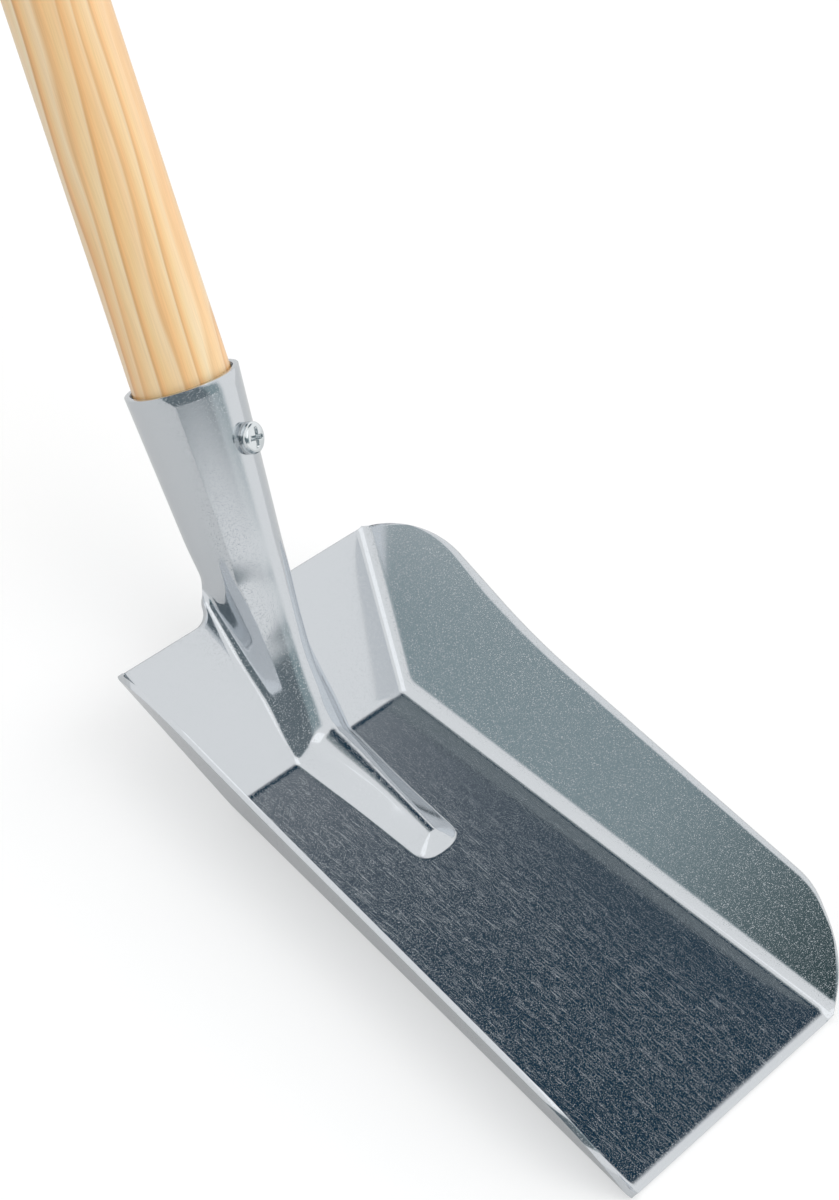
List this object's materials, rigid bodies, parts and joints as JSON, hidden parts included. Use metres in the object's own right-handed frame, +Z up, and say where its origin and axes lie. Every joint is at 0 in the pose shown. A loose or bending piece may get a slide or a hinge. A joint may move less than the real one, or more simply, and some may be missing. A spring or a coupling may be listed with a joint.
{
  "type": "short-handled shovel",
  "caption": "Flat-floored scoop pressed from one zinc-plated sheet with a ridge that rolls up into a tapered socket, a turned pine handle seated in it and a cross-recess screw.",
  "frame": {"origin": "centre of the flat underside of the floor, half way between the lip and the fold of the back wall", "axes": "+Z up out of the scoop, +Y from the lip towards the handle, +X across the blade"},
  "size_m": [0.1284, 0.389, 0.2307],
  "materials": {
    "zinc_sheet": "bright zinc plate over rolled steel, fine grain along the blade",
    "pine": "turned pine, clear satin lacquer",
    "zinc_screw": "bright zinc plate"
  },
  "bodies": {
    "root": {"blade_and_socket": "zinc_sheet", "handle": "pine", "screw": "zinc_screw"}
  },
  "joints": []
}
